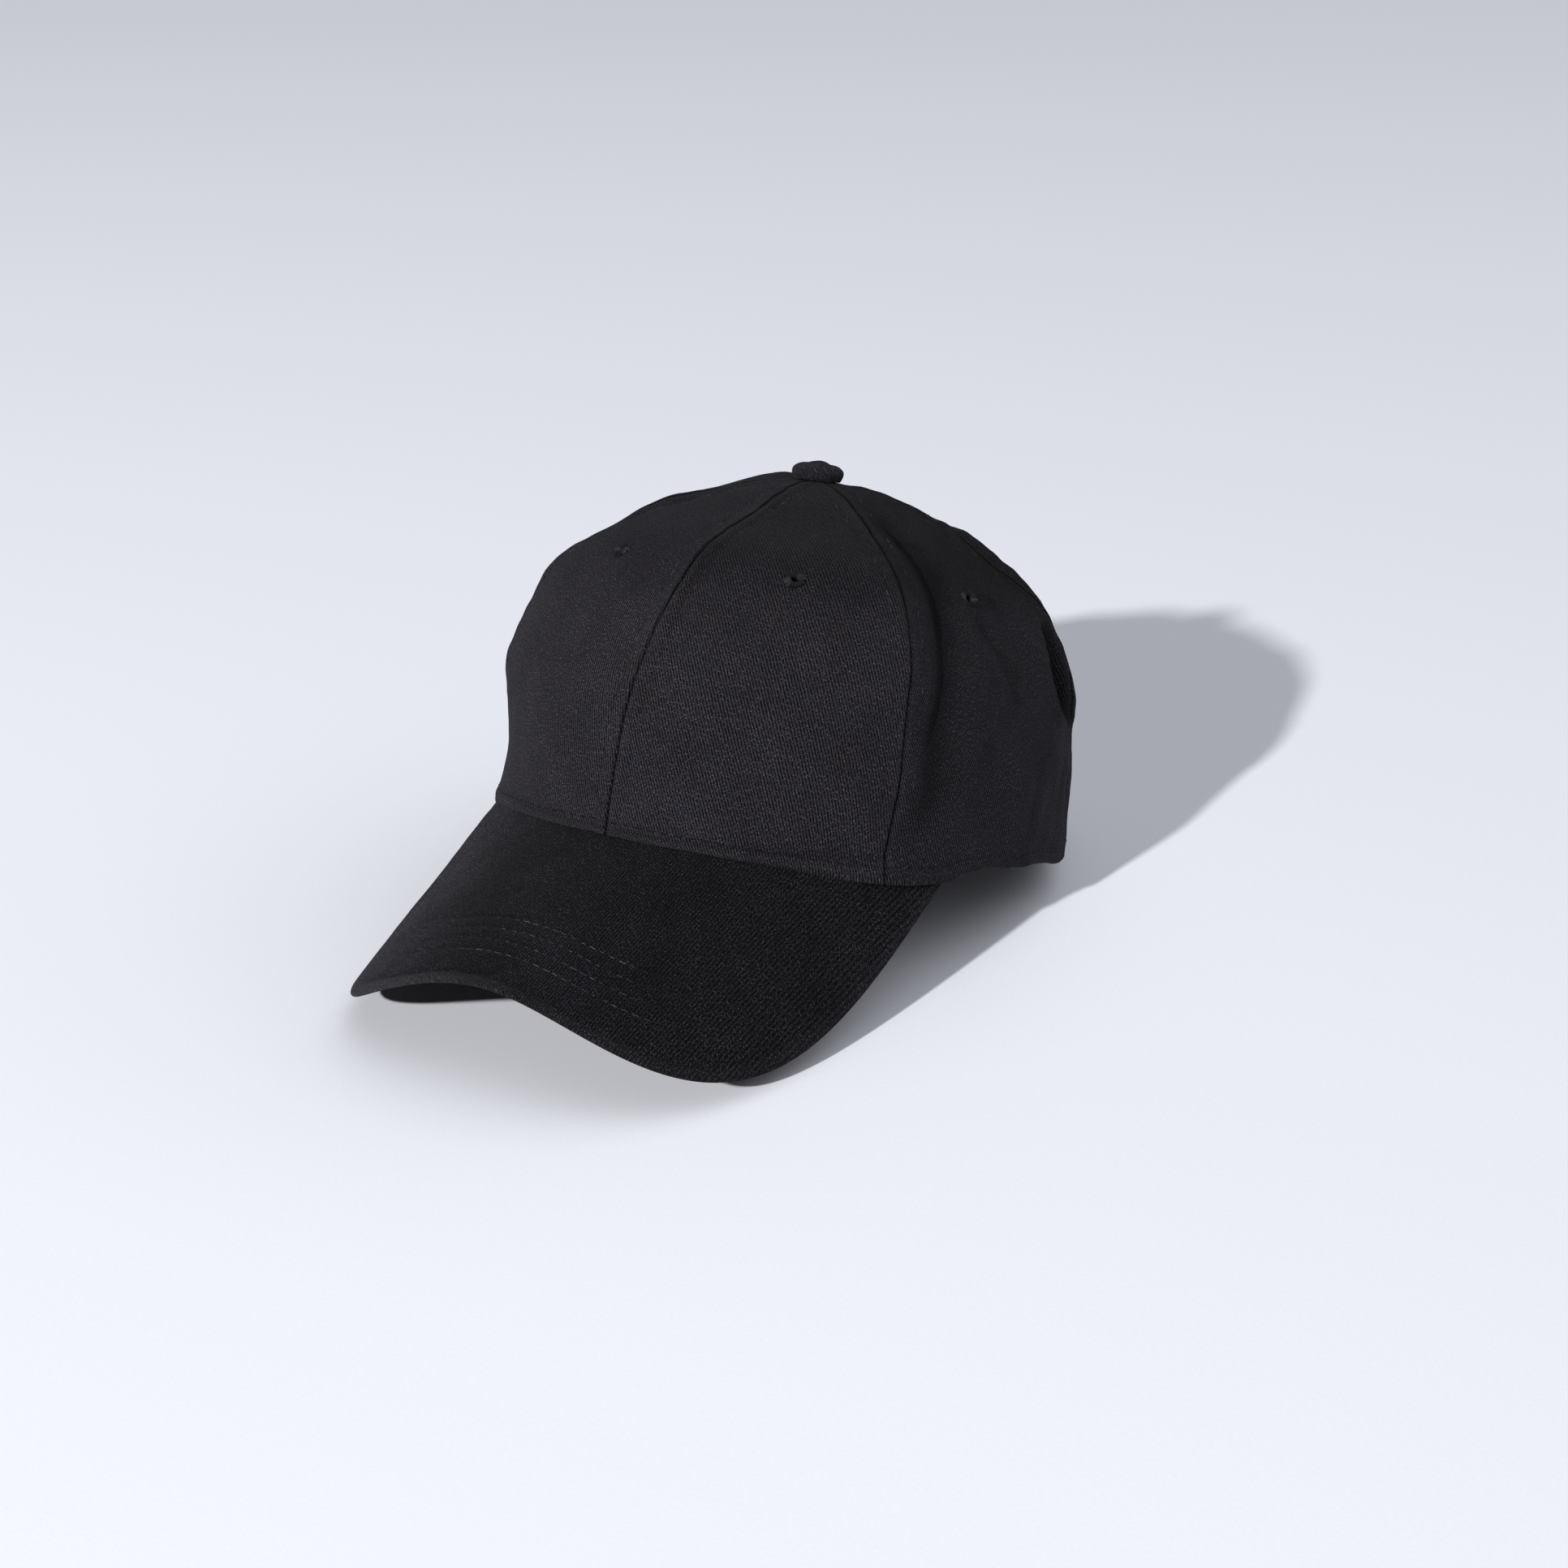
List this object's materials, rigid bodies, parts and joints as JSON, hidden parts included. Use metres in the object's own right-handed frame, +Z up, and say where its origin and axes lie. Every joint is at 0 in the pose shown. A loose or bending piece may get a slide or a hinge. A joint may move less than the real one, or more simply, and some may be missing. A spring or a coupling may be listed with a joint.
{
  "type": "baseball cap",
  "caption": "Soft structured cap with curved visor, stitched eyelets, covered top button, sweatband and a rear strap drawn through a hinged metal buckle.",
  "frame": {"origin": "On the surface the cap stands on, under the middle of its overall box. The cap stands on its two visor corners and the two ends of its back rim.", "axes": "+Z up, the visor points to -Y, +X is the wearer's left"},
  "size_m": [0.1748, 0.2576, 0.1325],
  "materials": {
    "cloth": "brushed cotton twill",
    "thread": "embroidery thread",
    "lining": "stiff open-weave buckram",
    "tape": "plain woven tape",
    "band": "cotton twill over thin padding",
    "metal": "brushed",
    "board": "polyethylene sheet"
  },
  "bodies": {
    "crown": {"front_panel_left": "cloth", "front_eyelet_left": "thread", "front_panel_right": "cloth", "front_eyelet_right": "thread", "side_panel_left": "cloth", "side_eyelet_left": "thread", "side_panel_right": "cloth", "side_eyelet_right": "thread", "back_panel_left": "cloth", "back_eyelet_left": "thread", "back_panel_right": "cloth", "back_eyelet_right": "thread", "front_buckram_left": "lining", "front_buckram_right": "lining", "front_seam_tape": "tape", "back_seam_tape": "tape", "front_side_tape_left": "tape", "front_side_tape_right": "tape", "back_side_tape_left": "tape", "back_side_tape_right": "tape", "opening_binding": "tape", "sweatband": "band", "button_cover": "cloth", "button_shell": "metal", "button_rivet": "metal", "button_washer": "metal", "visor_top_cover": "cloth", "visor_bottom_cover": "cloth", "visor_board": "board", "buckle_tab": "cloth", "buckle_frame": "metal", "buckle_pin": "metal", "buckle_bar": "metal"},
    "strap": {"strap": "cloth"},
    "lever": {"buckle_lever": "metal"}
  },
  "joints": [
    {"name": "lever_flip", "type": "hinge", "parent": "crown", "child": "lever", "pos_m": [0.03674, 0.11851, 0.01278], "axis": [0.0164, -0.2453, -0.9693], "range_deg": [0, 100]},
    {"name": "strap_draw", "type": "hinge", "parent": "crown", "child": "strap", "pos_m": [0, 0.04416, 0.03493], "axis": [0, -0.2865, -0.9581], "range_deg": [-14, 14]}
  ]
}
